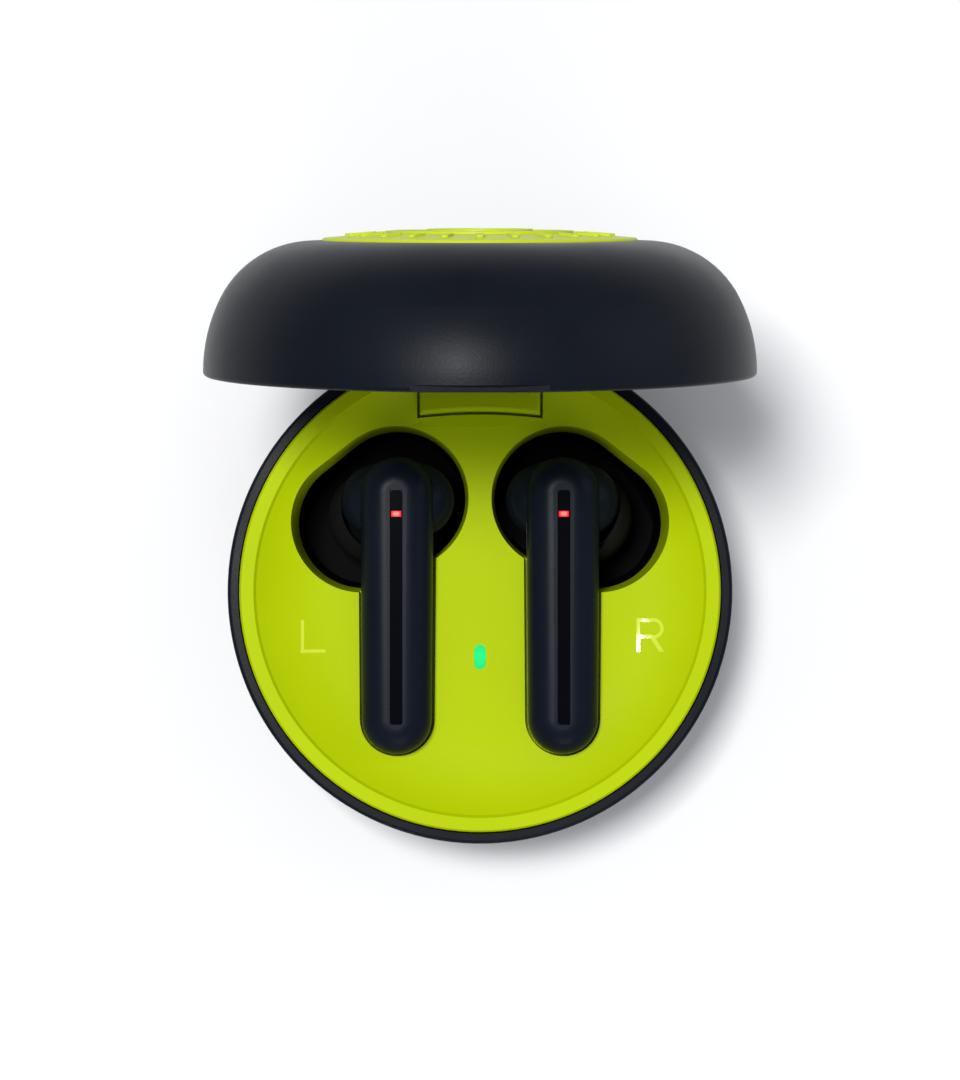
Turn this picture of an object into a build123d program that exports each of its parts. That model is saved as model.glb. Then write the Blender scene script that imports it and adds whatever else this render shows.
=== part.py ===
from build123d import *
from math import asin, cos, degrees, radians, sin
import os

# Round charging case with a hinged lid and two docked stem earbuds.
# Millimetres. +Z is up, +Y is the hinge side, and the origin is the centre of the flat foot.
# The lid's pieces are drawn shut and then turned open about the hinge axis.

# ---- driving dimensions: the case ------------------------------------------------------------
CASE_R = 30.0              # outside radius at the parting line
BASE_H = 21.0              # foot to the base's rim
LID_H = 14.45              # lid's rim to its flat top
PART_GAP = 0.2             # parting line between the shut lid and the base
WALL = 1.6                 # outer shells
SIDE_R = 17.7              # large arc of the side wall
SHOULDER_R = 11.2          # smaller arc that turns it into the flat end
BLEND = 27.0               # degrees: where one arc hands over to the other
LID_RIM_Z = BASE_H + PART_GAP
LID_TOP_Z = LID_RIM_Z + LID_H
RIM_ROUND = 0.45

# ---- the tray --------------------------------------------------------------------------------
SEAT_R = 28.75             # bore in the base shell that takes the tray
SEAT_Z = 14.4              # ledge the tray's skirt stands on
TRAY_R = 28.6
LIP_R = 26.9               # inner edge of the tray's flat lip
DISH_FLAT_R = 18.0         # flat middle of the dish
DISH_EDGE_R = 26.6         # where the dish meets the lip's small bevel
DISH_Z = 18.0              # height of that flat middle
DISH_ARC_R = 15.5          # curve that rises from it to the lip
TRAY_T = 1.3
CHANNEL_Z = 15.85          # floor of the stem channels
CHANNEL_T = 1.2
POCKET_SKIRT_Z = 12.0      # where the coloured pocket wall ends and the black cup starts
POCKET_DRAFT = 4.0
POCKET_EASE = 0.2
CUP_FLOOR_Z = 4.4
CUP_WALL = 0.9
SOCKET_TOP_Z = 13.2
LETTER_STROKE = 0.42
LETTER_DEPTH = 0.25
LETTER_INLAY_DROP = 0.06   # the glossy fill stops this far below the dish
CATCH_X = 5.5              # catch magnets sit this far either side of the middle
CATCH_Y = (-25.4, -23.4)
CATCH_LEN = 6.0

# ---- the hinge -------------------------------------------------------------------------------
HINGE_Y = 27.4
HINGE_Z = BASE_H + 0.1
BARREL_R = 2.4
RELIEF_R = 2.85
PIN_R = 0.6
PIN_HALF = 9.4
PIN_PLAY = 0.05
LUG_HALF = 6.0             # half width of the base's middle knuckle
KNUCKLE_IN = 6.2           # lid knuckles run from here...
KNUCKLE_OUT = 12.1         # ...to here, on each side
OPEN_ANGLE = 83.0
HINGE_AXIS = Axis((0, HINGE_Y, HINGE_Z), (-1, 0, 0))
HINGE_SLOT_Y = HINGE_Y - RELIEF_R - 0.15
COVER_X = 7.15
COVER_FRONT = 21.0         # front edge at the corners; it bows back in the middle
COVER_BOW = 0.45
COVER_GAP = 0.35
COVER_Z = (17.0, 21.9)

# ---- the earbud ------------------------------------------------------------------------------
BUD_X = 9.9                # stem centreline, either side of the middle
STEM_TOP_R = 4.35          # stem radius at the head end
STEM_END_R = 4.15          # and at the tip end
STEM_TOP_Y = 11.6          # centres of those two rounded ends
STEM_END_Y = -15.25
STEM_Z0 = 16.0             # underside and outside face of the stem as it lies docked
STEM_Z1 = 23.0
STEM_EDGE_R = 3.1
SEAM_Z = 19.3              # joint between the outer cover and the inner body
BUD_WALL = 0.9
STRIP_W = 1.5
STRIP_T = 0.45
STRIP_Y = (-15.7, 12.0)
LED_Y = 9.2
HEAD = (-BUD_X, 10.9, 16.6)     # centre of the left head
HEAD_A = 6.8               # half length across the case
HEAD_B = 5.2               # half length the other two ways
HEAD_END_R = 4.4           # radius of the head's two round ends
NOZZLE_TILT = 35.6         # degrees from straight down
NOZZLE_HEADING = 215.2     # degrees in plan for the left bud, outwards and forwards
NOZZLE_R = 2.5
NOZZLE_BORE = 1.7
NOZZLE_START = 1.2         # distances from the head's centre along the nozzle
NOZZLE_END = 9.4
CONTACT_YS = (-12.6, -15.6)
CONTACT_Z = 16.5
CONTACT_R = 0.9
CELL_R = 1.95
BUD_BOARD_Z = 20.85
BUD_BOARD_T = 0.6
BUD_MAGNET_Y = -8.6

# ---- inside the base -------------------------------------------------------------------------
BOARD_Z = 12.6
BOARD_T = 0.8
BOARD_TOP = BOARD_Z + BOARD_T
BOSS_SPOTS = ((-3.8, -4.9), (3.8, -4.9), (0, -17.6))
SCREW_R = 0.55
SCREW_HEAD_R = 1.1
SCREW_HEAD_T = 0.8
SCREW_LEN = 3.0
USB_Z = 10.5
USB_MOUTH_Y = 29.2
USB_BACK_Y = 21.3
USB_W = 8.94               # outside of the receptacle's steel shell
USB_TALL = 3.26
USB_BOARD_Z = USB_Z - USB_TALL / 2 - BOARD_T
POST_SPOTS = ((-7.4, 22.6), (7.4, 22.6))
LENS_Y = -7.9
LENS_LEN = 2.9
LENS_W = 1.35
CELL_Z = (4.0, 10.4)

# ---- sprung contacts -------------------------------------------------------------------------
POGO_OUT_R = 0.9
POGO_BORE_R = 0.62
POGO_MOUTH_R = 0.42
POGO_TOP_Z = 15.7
PLUNGER_R = 0.37
FLANGE_R = 0.57
FLANGE_Z = 14.9
SPRING_FOOT_Z = 13.7
SPRING_WIRE_R = 0.08
SPRING_COIL_R = 0.42
SPRING_PITCH = 0.3

os.makedirs("parts", exist_ok=True)


def save(part, name):
    """Labels a finished piece and writes it as one STEP file."""
    part.label = name
    export_step(part, f"parts/{name}.step")
    print(f"{name:22s} volume {part.volume:9.2f}  solids {len(part.solids())}")


def save_lid(part, name):
    """Turns a lid piece from shut to open, then saves it."""
    save(part.rotate(HINGE_AXIS, OPEN_ANGLE), name)


def bowl(rim_z, end_z, inset=0.0, mode=Mode.ADD):
    """The case's rounded form between the rim plane and the flat end, shrunk by the inset."""
    away = 1 if end_z > rim_z else -1
    shoulder_z = end_z - away * SHOULDER_R
    side_r = CASE_R - SIDE_R
    side_z = shoulder_z - away * (SIDE_R - SHOULDER_R) * sin(radians(BLEND))
    shoulder_r = side_r + (SIDE_R - SHOULDER_R) * cos(radians(BLEND))
    turn_arc = away * (90 - BLEND)
    with BuildSketch(Plane.XZ) as half:
        with BuildLine():
            side = CenterArc((side_r, side_z), SIDE_R - inset, 0, away * BLEND)
            turn = CenterArc((shoulder_r, shoulder_z), SHOULDER_R - inset, away * BLEND, turn_arc)
            Polyline(side @ 0, (CASE_R - inset, rim_z), (0, rim_z), (0, end_z - away * inset), turn @ 1)
        make_face()
    revolve(half.sketch, axis=Axis.Z, mode=mode)


def ring(r_in, r_out, z0, z1, mode=Mode.ADD):
    """A plain ring about the case's axis."""
    with BuildSketch(Plane.XY.offset(z0)) as flat:
        Circle(r_out)
        if r_in > 0:
            Circle(r_in, mode=Mode.SUBTRACT)
    extrude(flat.sketch, amount=z1 - z0, mode=mode)


def block(x, y, z, mode=Mode.ADD):
    """A box given by its two limits along each axis."""
    with BuildSketch(Plane.XY.offset(z[0])) as flat:
        with Locations(((x[0] + x[1]) / 2, (y[0] + y[1]) / 2)):
            Rectangle(abs(x[1] - x[0]), y[1] - y[0])
    extrude(flat.sketch, amount=z[1] - z[0], mode=mode)


def post(x, y, radius, z0, z1, mode=Mode.ADD):
    """An upright cylinder between two heights."""
    with BuildSketch(Plane.XY.offset(z0)) as flat:
        with Locations((x, y)):
            Circle(radius)
    extrude(flat.sketch, amount=z1 - z0, mode=mode)


def x_cylinder(radius, x0, x1, mode=Mode.ADD):
    """A cylinder on the hinge axis between two x positions."""
    with BuildSketch(Plane.YZ.offset(x0)) as flat:
        with Locations((HINGE_Y, HINGE_Z)):
            Circle(radius)
    extrude(flat.sketch, amount=x1 - x0, mode=mode)


def stem_plan(z, grow=0.0, side=-1):
    """Outline of a stem seen from above: two rounded ends and the straight flanks between."""
    with BuildSketch(Plane.XY.offset(z)) as flat:
        with Locations((side * BUD_X, STEM_TOP_Y)):
            Circle(STEM_TOP_R + grow)
        with Locations((side * BUD_X, STEM_END_Y)):
            Circle(STEM_END_R + grow)
        make_hull()
    return flat.sketch


def pocket_plan(z, grow=0.0, side=-1):
    """Outline of a pocket: a lobe round the head and a second one for the angled ear tip."""
    with BuildSketch(Plane.XY.offset(z)) as flat:
        with Locations((side * 9.95, 11.1)):
            Circle(8.6 + grow)
        with Locations((side * 14.2, 8.1)):
            Circle(8.3 + grow)
        make_hull()
    return flat.sketch


def cover_plan(z, grow=0.0):
    """The hinge cover's outline, with a front edge that bows gently back."""
    x, y0 = COVER_X + grow, COVER_FRONT - grow
    with BuildSketch(Plane.XY.offset(z)) as flat:
        with BuildLine():
            front = ThreePointArc((-x, y0), (0, y0 + COVER_BOW), (x, y0))
            Polyline(front @ 1, (x, HINGE_SLOT_Y + grow), (-x, HINGE_SLOT_Y + grow), front @ 0)
        make_face()
    return flat.sketch


def dish_void(drop=0.0):
    """Half section of the space above the dish; a drop sinks it for engraving."""
    floor_z = DISH_Z - drop
    swing = degrees(asin((DISH_EDGE_R - DISH_FLAT_R) / DISH_ARC_R))
    with BuildSketch(Plane.XZ) as half:
        with BuildLine():
            flat = Line((0, floor_z), (DISH_FLAT_R, floor_z))
            curve = CenterArc((DISH_FLAT_R, floor_z + DISH_ARC_R), DISH_ARC_R, -90, swing)
            Polyline(
                curve @ 1, (LIP_R, BASE_H - drop), (LIP_R, BASE_H + 5), (0, BASE_H + 5), flat @ 0
            )
        make_face()
    return half.sketch


# ============================== base body =====================================================
with BuildPart() as lug:
    x_cylinder(BARREL_R, -LUG_HALF, LUG_HALF)
    block((-LUG_HALF, LUG_HALF), (25.8, CASE_R), (16.4, HINGE_Z))
    ring(0, CASE_R, 0, 60, mode=Mode.INTERSECT)

with BuildPart() as base_shell:
    bowl(BASE_H, 0)
    fillet(base_shell.edges().filter_by(GeomType.CIRCLE).group_by(Axis.Z)[-1], RIM_ROUND)
    bowl(BASE_H + 1, 0, WALL, mode=Mode.SUBTRACT)
    ring(0, SEAT_R, SEAT_Z, BASE_H + 1, mode=Mode.SUBTRACT)
    # room for the lid's knuckles either side, then the fixed knuckle between them
    for side in (-1, 1):
        x_cylinder(RELIEF_R, side * LUG_HALF, side * (KNUCKLE_OUT + 0.3), mode=Mode.SUBTRACT)
    add(lug.part)
    x_cylinder(PIN_R, -LUG_HALF, LUG_HALF, mode=Mode.SUBTRACT)
    # mouth of the charging port
    with BuildSketch(Plane.XZ.offset(-CASE_R - 1)):
        with Locations((0, USB_Z)):
            SlotOverall(USB_W + 0.3, USB_TALL + 0.3)
    extrude(amount=6, mode=Mode.SUBTRACT)
    # ribs beside the battery and posts under the port's board
    for side in (-1, 1):
        block((side * 14.4 - 0.5, side * 14.4 + 0.5), (-14, -6), (1.2, 5.4))
    for x, y in POST_SPOTS:
        post(x, y, 1.4, 3.0, USB_BOARD_Z)
        post(x, y, SCREW_R, 5.0, USB_BOARD_Z, mode=Mode.SUBTRACT)
save(base_shell.part, "base_shell")

with BuildPart() as hinge_pin:
    x_cylinder(PIN_R, -PIN_HALF, PIN_HALF)
    chamfer(hinge_pin.edges().filter_by(GeomType.CIRCLE), 0.15)
save(hinge_pin.part, "hinge_pin")

with BuildPart() as letter_cut:
    # L on the left in two strokes; R on the right as upright, bowl and leg
    with BuildSketch(Plane.XY.offset(DISH_Z - 2)):
        with Locations((-21.25, -5.45)):
            Rectangle(LETTER_STROKE, 4.0)
        with Locations((-20.0, -7.2)):
            Rectangle(3.0, LETTER_STROKE)
        with Locations((18.95, -5.25)):
            Rectangle(LETTER_STROKE, 4.0)
        with Locations((19.9, -3.5), (19.9, -5.45)):
            Rectangle(2.0, LETTER_STROKE)
        with Locations((20.75, -4.475)):
            Circle(1.225)
            Circle(1.225 - LETTER_STROKE, mode=Mode.SUBTRACT)
        with Locations((20.05, -4.475)):
            Rectangle(1.4, 1.45, mode=Mode.SUBTRACT)
        with BuildLine():
            Polyline((20.3, -5.5), (20.9, -5.5), (22.0, -7.25), (21.4, -7.25), close=True)
        make_face()
    extrude(amount=6)
    revolve(dish_void(LETTER_DEPTH), axis=Axis.Z, mode=Mode.INTERSECT)

with BuildPart() as tray:
    # rim, skirt and dished floor, all turned about the case's axis
    ring(0, TRAY_R, SEAT_Z, BASE_H)
    chamfer(tray.edges().filter_by(GeomType.CIRCLE).group_by(Axis.Z)[-1], 0.25)
    revolve(dish_void(), axis=Axis.Z, mode=Mode.SUBTRACT)
    ring(0, TRAY_R - 1.2, SEAT_Z, DISH_Z - TRAY_T, mode=Mode.SUBTRACT)
    # walls round the pockets and under the stems
    under = DISH_Z - TRAY_T + 0.3
    for side in (-1, 1):
        extrude(pocket_plan(POCKET_SKIRT_Z, 0.7, side), amount=under - POCKET_SKIRT_Z)
        extrude(stem_plan(CHANNEL_Z - CHANNEL_T, 1.5, side), amount=under - CHANNEL_Z + CHANNEL_T)
    # bosses for the board's screws, blocks for the catch magnets and the hinge cover
    for x, y in BOSS_SPOTS:
        post(x, y, 1.5, BOARD_TOP, under)
    block((-9.2, 9.2), (-26.0, -22.6), (14.9, 18.2))
    block((-8.6, 8.6), (19.6, HINGE_SLOT_Y + 0.6), (15.6, 18.4))
    # openings: pockets, stem channels, contacts, catch magnets, hinge, lens and screws
    for side in (-1, 1):
        extrude(
            pocket_plan(BASE_H, POCKET_EASE, side),
            amount=-(BASE_H - POCKET_SKIRT_Z + 0.01),
            taper=POCKET_DRAFT,
            mode=Mode.SUBTRACT,
        )
        extrude(stem_plan(CHANNEL_Z, 0.35, side), amount=8, mode=Mode.SUBTRACT)
        for y in CONTACT_YS:
            post(side * BUD_X, y, 0.95, 13, 17, mode=Mode.SUBTRACT)
        half = CATCH_LEN / 2
        block((side * CATCH_X - half, side * CATCH_X + half), CATCH_Y, (14.8, 17.2), mode=Mode.SUBTRACT)
    out = KNUCKLE_OUT + 0.4
    block((-out, out), (HINGE_SLOT_Y, 31), (16.2, 23), mode=Mode.SUBTRACT)
    extrude(cover_plan(COVER_Z[0], COVER_GAP), amount=6, mode=Mode.SUBTRACT)
    with BuildSketch(Plane.XY.offset(14)):
        with Locations((0, LENS_Y)):
            SlotOverall(LENS_LEN + 0.04, LENS_W + 0.04, rotation=90)
    extrude(amount=6, mode=Mode.SUBTRACT)
    for x, y in BOSS_SPOTS:
        post(x, y, SCREW_R, BOARD_TOP, BOARD_Z + SCREW_LEN + 0.3, mode=Mode.SUBTRACT)
    add(letter_cut.part, mode=Mode.SUBTRACT)
save(tray.part, "tray")

with BuildPart() as side_letters:
    # glossy fill in the bottom of the engraving
    add(letter_cut.part)
    revolve(dish_void(LETTER_INLAY_DROP), axis=Axis.Z, mode=Mode.SUBTRACT)
save(side_letters.part, "side_letters")

with BuildPart() as hinge_cover:
    extrude(cover_plan(COVER_Z[0]), amount=COVER_Z[1] - COVER_Z[0])
    fillet(hinge_cover.edges().group_by(Axis.Z)[-1], 0.5)
save(hinge_cover.part, "hinge_cover")

# the black cups under the pockets, joined by a web into one moulding
with BuildPart() as cup_voids:
    for side in (-1, 1):
        extrude(pocket_plan(BASE_H, POCKET_EASE, side), amount=-BASE_H, taper=POCKET_DRAFT)
    bowl(BASE_H, 0, WALL + 0.3 + CUP_WALL, mode=Mode.INTERSECT)
    ring(0, CASE_R, 0, CUP_FLOOR_Z, mode=Mode.SUBTRACT)

with BuildPart() as cradle:
    for side in (-1, 1):
        extrude(pocket_plan(BASE_H, POCKET_EASE + CUP_WALL, side), amount=-BASE_H, taper=POCKET_DRAFT)
    bowl(BASE_H, 0, WALL + 0.3, mode=Mode.INTERSECT)
    ring(0, CASE_R, 0, CUP_FLOOR_Z - CUP_WALL, mode=Mode.SUBTRACT)
    ring(0, CASE_R, POCKET_SKIRT_Z, BASE_H, mode=Mode.SUBTRACT)
    for side in (-1, 1):
        extrude(pocket_plan(POCKET_SKIRT_Z - 1.2, 1.5, side), amount=SOCKET_TOP_Z - POCKET_SKIRT_Z + 1.2)
    block((-2.0, 2.0), (8.0, 14.0), (9.6, POCKET_SKIRT_Z))
    for side in (-1, 1):
        extrude(
            pocket_plan(POCKET_SKIRT_Z, 0.72, side),
            amount=SOCKET_TOP_Z - POCKET_SKIRT_Z,
            mode=Mode.SUBTRACT,
        )
    add(cup_voids.part, mode=Mode.SUBTRACT)
save(cradle.part, "cradle")

with BuildPart() as battery:
    block((-13.6, 13.6), (-19.5, -3.5), CELL_Z)
    fillet(battery.edges().filter_by(Axis.Z), 1.2)
    fillet(battery.faces().sort_by(Axis.Z)[-1].edges(), 0.4)
save(battery.part, "battery")

with BuildPart() as battery_pad:
    block((-9, 9), (-15, -5), (WALL, CELL_Z[0]))
save(battery_pad.part, "battery_pad")

with BuildPart() as battery_leads:
    for x in (-1.6, 1.6):
        with BuildLine() as run:
            Spline((x, -3.5, 8.6), (x, -2.3, 9.8), (x, -2.4, 11.4), (x, -3.7, BOARD_Z))
        with BuildSketch(Plane(origin=run.line @ 0, z_dir=run.line % 0)) as wire:
            Circle(0.3)
        sweep(wire.sketch, path=run.line)
    block((-3, 3), (-8, 0), (BOARD_Z, BOARD_Z + 2), mode=Mode.SUBTRACT)
    block((-3, 3), (-8, -3.5), (7, 9.8), mode=Mode.SUBTRACT)
save(battery_leads.part, "battery_leads")

with BuildPart() as main_board:
    block((-14, 14), (-22, -3), (BOARD_Z, BOARD_TOP))
    ring(0, 25.4, BOARD_Z, BOARD_TOP, mode=Mode.INTERSECT)
    for x, y in BOSS_SPOTS:
        post(x, y, SCREW_R, BOARD_Z, BOARD_TOP, mode=Mode.SUBTRACT)
save(main_board.part, "main_board")

with BuildPart() as board_chips:
    # controller, charger, choke and lid sensor on the main board, each a low package
    for x, y, w, d, h in ((0, -12.4, 5, 5, 0.9), (0, -20.4, 3, 1.8, 0.6), (-6.2, -20, 2.6, 2, 1), (6.2, -20, 1.6, 2, 1)):
        block((x - w / 2, x + w / 2), (y - d / 2, y + d / 2), (BOARD_TOP, BOARD_TOP + h))
save(board_chips.part, "board_chips")

with BuildPart() as status_led:
    block((-0.8, 0.8), (LENS_Y - 0.5, LENS_Y + 0.5), (BOARD_TOP, BOARD_TOP + 0.6))
save(status_led.part, "status_led")

with BuildPart() as status_lens:
    with BuildSketch(Plane.XY.offset(BOARD_TOP + 0.6)):
        with Locations((0, LENS_Y)):
            SlotOverall(LENS_LEN, LENS_W, rotation=90)
    extrude(amount=DISH_Z + 0.1 - BOARD_TOP - 0.6)
    fillet(status_lens.edges().group_by(Axis.Z)[-1], 0.12)
save(status_lens.part, "status_lens")

with BuildPart() as usb_board:
    block((-9.4, 9.4), (20.9, 27), (USB_BOARD_Z, USB_BOARD_Z + BOARD_T))
    ring(0, 26.3, 0, BASE_H, mode=Mode.INTERSECT)
    for x, y in POST_SPOTS:
        post(x, y, SCREW_R, USB_BOARD_Z, USB_BOARD_Z + BOARD_T, mode=Mode.SUBTRACT)
save(usb_board.part, "usb_board")

with BuildPart() as usb_shell:
    with BuildSketch(Plane.XZ.offset(-USB_BACK_Y)):
        with Locations((0, USB_Z)):
            SlotOverall(USB_W, USB_TALL)
    extrude(amount=USB_BACK_Y - USB_MOUTH_Y)
    with BuildSketch(Plane.XZ.offset(-USB_BACK_Y - 0.3)):
        with Locations((0, USB_Z)):
            SlotOverall(USB_W - 0.6, USB_TALL - 0.6)
    extrude(amount=USB_BACK_Y - USB_MOUTH_Y, mode=Mode.SUBTRACT)
save(usb_shell.part, "usb_shell")

with BuildPart() as usb_tongue:
    with BuildSketch(Plane.XZ.offset(-USB_BACK_Y - 0.3)):
        with Locations((0, USB_Z)):
            SlotOverall(USB_W - 0.6, USB_TALL - 0.6)
    extrude(amount=-1.4)
    block((-3.34, 3.34), (22.4, 28.4), (USB_Z - 0.35, USB_Z + 0.35))
save(usb_tongue.part, "usb_tongue")

with BuildPart() as flex_cable:
    # a ribbon on edge between the two boards, through the gap between the cups
    with BuildSketch(Plane.YZ.offset(-0.1)):
        with BuildLine():
            Polyline(
                (-2.9, 5.6),
                (-2.9, BOARD_Z),
                (-4.4, BOARD_Z),
                (-4.4, BOARD_Z - 1.6),
                (-3.4, BOARD_Z - 1.6),
                (-3.4, 4.8),
                (24.0, 4.8),
                (24.0, USB_BOARD_Z),
                (22.6, USB_BOARD_Z),
                (22.6, 6.2),
                (-1.4, 6.2),
                (-1.4, 5.6),
                close=True,
            )
        make_face()
    extrude(amount=0.2)
save(flex_cable.part, "flex_cable")

with BuildPart() as board_screws:
    for x, y in BOSS_SPOTS:
        post(x, y, SCREW_R, BOARD_Z, BOARD_Z + SCREW_LEN)
        post(x, y, SCREW_HEAD_R, BOARD_Z - SCREW_HEAD_T, BOARD_Z)
        block((x - 0.7, x + 0.7), (y - 0.15, y + 0.15), (BOARD_Z - SCREW_HEAD_T, BOARD_Z - 0.4), mode=Mode.SUBTRACT)
    top = USB_BOARD_Z + BOARD_T
    for x, y in POST_SPOTS:
        post(x, y, SCREW_R, top - SCREW_LEN, top)
        post(x, y, SCREW_HEAD_R, top, top + SCREW_HEAD_T)
        block((x - 0.7, x + 0.7), (y - 0.15, y + 0.15), (top + 0.4, top + SCREW_HEAD_T), mode=Mode.SUBTRACT)
save(board_screws.part, "board_screws")

with BuildPart() as catch_magnets:
    for side in (-1, 1):
        half = CATCH_LEN / 2
        block((side * CATCH_X - half, side * CATCH_X + half), CATCH_Y, (15.0, 17.2))
save(catch_magnets.part, "catch_magnets")

with BuildPart() as dock_magnets:
    for side in (-1, 1):
        post(side * BUD_X, BUD_MAGNET_Y, 2.0, CHANNEL_Z - CHANNEL_T - 1.0, CHANNEL_Z - CHANNEL_T)
save(dock_magnets.part, "dock_magnets")

with BuildPart() as pogo_housings:
    for side in (-1, 1):
        for y in CONTACT_YS:
            post(side * BUD_X, y, POGO_OUT_R, BOARD_TOP, POGO_TOP_Z)
            post(side * BUD_X, y, POGO_BORE_R, SPRING_FOOT_Z, 15.4, mode=Mode.SUBTRACT)
            post(side * BUD_X, y, POGO_MOUTH_R, 15.4, POGO_TOP_Z, mode=Mode.SUBTRACT)
save(pogo_housings.part, "pogo_housings")

POGO_NAMES = {(-1, 0): "left_rear", (-1, 1): "left_front", (1, 0): "right_rear", (1, 1): "right_front"}
for (side, row), spot in POGO_NAMES.items():
    x, y = side * BUD_X, CONTACT_YS[row]
    with BuildPart() as plunger:
        post(x, y, FLANGE_R, FLANGE_Z, FLANGE_Z + 0.4)
        post(x, y, PLUNGER_R, FLANGE_Z + 0.4, CONTACT_Z - 0.05)
        fillet(plunger.edges().group_by(Axis.Z)[-1], 0.3)
    save(plunger.part, f"plunger_{spot}")

    with BuildPart() as spring:
        with BuildLine() as coil:
            height = FLANGE_Z - SPRING_FOOT_Z - 2 * SPRING_WIRE_R
            Helix(SPRING_PITCH, height, SPRING_COIL_R, center=(x, y, SPRING_FOOT_Z + SPRING_WIRE_R))
        with BuildSketch(Plane(origin=coil.line @ 0, z_dir=coil.line % 0)) as wire:
            Circle(SPRING_WIRE_R)
        sweep(wire.sketch, path=coil.line, is_frenet=True)
    save(spring.part, f"spring_{spot}")

# ============================== lid body ======================================================
BADGE_R = 17.05
BADGE_SEAT = 0.6
TAPE_T = 0.15
LINER_T = 1.0
LINER_RIM_Z = LID_RIM_Z + 0.6
LID_SLOT_Z = HINGE_Z + 2.95

with BuildPart() as lid_shell:
    bowl(LID_RIM_Z, LID_TOP_Z)
    fillet(lid_shell.edges().filter_by(GeomType.CIRCLE).group_by(Axis.Z)[0], RIM_ROUND)
    bowl(LID_RIM_Z - 1, LID_TOP_Z, WALL, mode=Mode.SUBTRACT)
    # seat for the badge and the thumb notch in the front edge
    ring(0, BADGE_R + 0.1, LID_TOP_Z - BADGE_SEAT, LID_TOP_Z + 1, mode=Mode.SUBTRACT)
    block((-6.9, 6.9), (-CASE_R - 1, -CASE_R + 0.85), (LID_RIM_Z - 1, LID_RIM_Z + 0.75), mode=Mode.SUBTRACT)
    # rear slot for the base's knuckle, then the lid's own two knuckles
    x_cylinder(RELIEF_R, -KNUCKLE_IN, KNUCKLE_IN, mode=Mode.SUBTRACT)
    block((-KNUCKLE_IN, KNUCKLE_IN), (HINGE_Y, CASE_R + 1), (LID_RIM_Z - 1, LID_SLOT_Z), mode=Mode.SUBTRACT)
    for side in (-1, 1):
        x_cylinder(BARREL_R, side * KNUCKLE_IN, side * KNUCKLE_OUT)
    ring(0, CASE_R, 0, 60, mode=Mode.INTERSECT)
    for side in (-1, 1):
        x_cylinder(PIN_R + PIN_PLAY, side * KNUCKLE_IN, side * (PIN_HALF + 0.2), mode=Mode.SUBTRACT)
save_lid(lid_shell.part, "lid_shell")

with BuildPart() as lid_liner:
    bowl(LID_RIM_Z, LID_TOP_Z, WALL)
    bowl(LID_RIM_Z - 1, LID_TOP_Z, WALL + LINER_T, mode=Mode.SUBTRACT)
    # blocks that hold the catch magnets
    for side in (-1, 1):
        block((side * CATCH_X - 3.8, side * CATCH_X + 3.8), (-27.9, -22.6), (LINER_RIM_Z, 25.4))
    bowl(LID_RIM_Z, LID_TOP_Z, WALL, mode=Mode.INTERSECT)
    ring(0, CASE_R, 0, LINER_RIM_Z, mode=Mode.SUBTRACT)
    for side in (-1, 1):
        half = CATCH_LEN / 2
        block((side * CATCH_X - half, side * CATCH_X + half), CATCH_Y, (LINER_RIM_Z + 0.5, 24.5), mode=Mode.SUBTRACT)
    # clear of the knuckles and of the hinge cover when shut
    out = KNUCKLE_OUT + 0.3
    x_cylinder(RELIEF_R, -out, out, mode=Mode.SUBTRACT)
    block((-out, out), (HINGE_Y - RELIEF_R, CASE_R), (LINER_RIM_Z - 1, LID_SLOT_Z), mode=Mode.SUBTRACT)
save_lid(lid_liner.part, "lid_liner")

with BuildPart() as lid_magnets:
    for side in (-1, 1):
        half = CATCH_LEN / 2
        block((side * CATCH_X - half, side * CATCH_X + half), CATCH_Y, (LINER_RIM_Z + 0.5, 24.5))
save_lid(lid_magnets.part, "lid_magnets")

with BuildPart() as badge_tape:
    seat_z = LID_TOP_Z - BADGE_SEAT
    ring(9.0, BADGE_R - 0.6, seat_z, seat_z + TAPE_T)
save_lid(badge_tape.part, "badge_tape")

BADGE_Z = LID_TOP_Z - BADGE_SEAT + TAPE_T
BADGE_EDGE_Z = LID_TOP_Z + 0.3
BADGE_CROWN = 0.8
RELIEF_T = 0.25


def badge_dome(lift):
    """Half section of the domed disc, with its crown raised by the lift."""
    edge_z = BADGE_EDGE_Z + lift
    with BuildSketch(Plane.XZ) as half:
        with BuildLine():
            crown = ThreePointArc((-BADGE_R, edge_z), (0, edge_z + BADGE_CROWN), (BADGE_R, edge_z))
            Polyline(crown @ 1, (BADGE_R, BADGE_Z), (-BADGE_R, BADGE_Z), crown @ 0)
        make_face()
        with Locations((-CASE_R, LID_TOP_Z)):
            Rectangle(2 * CASE_R, 20, mode=Mode.SUBTRACT)
    return half.sketch


with BuildPart() as badge_relief:
    # two raised rings and a wreath of short bars
    for middle in (5.2, 9.6):
        ring(middle - 0.5, middle + 0.5, BADGE_Z + 0.2, BADGE_Z + 5)
    with BuildSketch(Plane.XY.offset(BADGE_Z + 0.2)):
        with PolarLocations(13.2, 24):
            SlotOverall(2.8, 0.9)
    extrude(amount=5)
    revolve(badge_dome(RELIEF_T), axis=Axis.Z, mode=Mode.INTERSECT)

with BuildPart() as lid_badge:
    revolve(badge_dome(0), axis=Axis.Z)
    rim = lid_badge.edges().filter_by(GeomType.CIRCLE)
    fillet(rim.filter_by_position(Axis.Z, BADGE_EDGE_Z - 0.01, BADGE_EDGE_Z + 0.01), 0.25)
    add(badge_relief.part)
save_lid(lid_badge.part, "lid_badge")


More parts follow.
